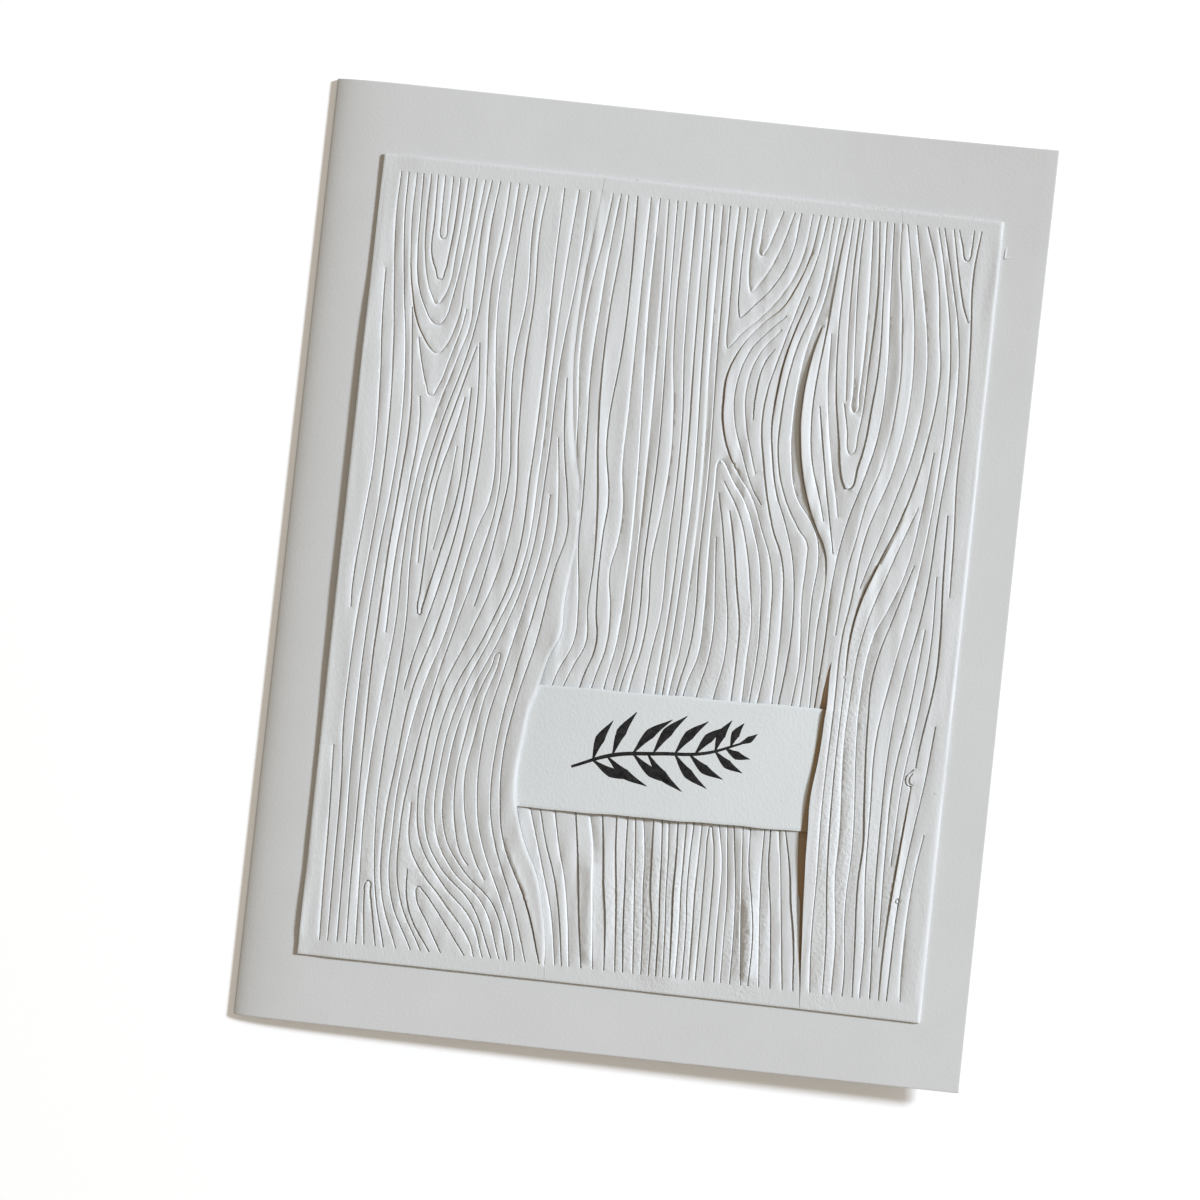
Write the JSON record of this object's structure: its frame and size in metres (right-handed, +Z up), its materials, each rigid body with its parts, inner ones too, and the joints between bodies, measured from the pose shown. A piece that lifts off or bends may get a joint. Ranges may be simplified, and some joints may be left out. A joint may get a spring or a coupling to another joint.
{
  "type": "greeting card",
  "caption": "Folded greeting card with a layered wood grain panel on the front and a plain label strip tucked into its cuts, lying closed.",
  "frame": {"origin": "centre of the bounding box, on the surface that the card lies on", "axes": "+X from the fold to the open edge, +Y up the card's face, +Z up out of the surface that it lies on"},
  "size_m": [0.108, 0.1396, 0.0047],
  "materials": {
    "card_stock": "matt",
    "panel_stock": "matt",
    "label_stock": "matt"
  },
  "bodies": {
    "root": {"card_base": "card_stock", "left_panel": "panel_stock", "middle_panel": "panel_stock", "right_panel": "panel_stock", "label": "label_stock"}
  },
  "joints": []
}
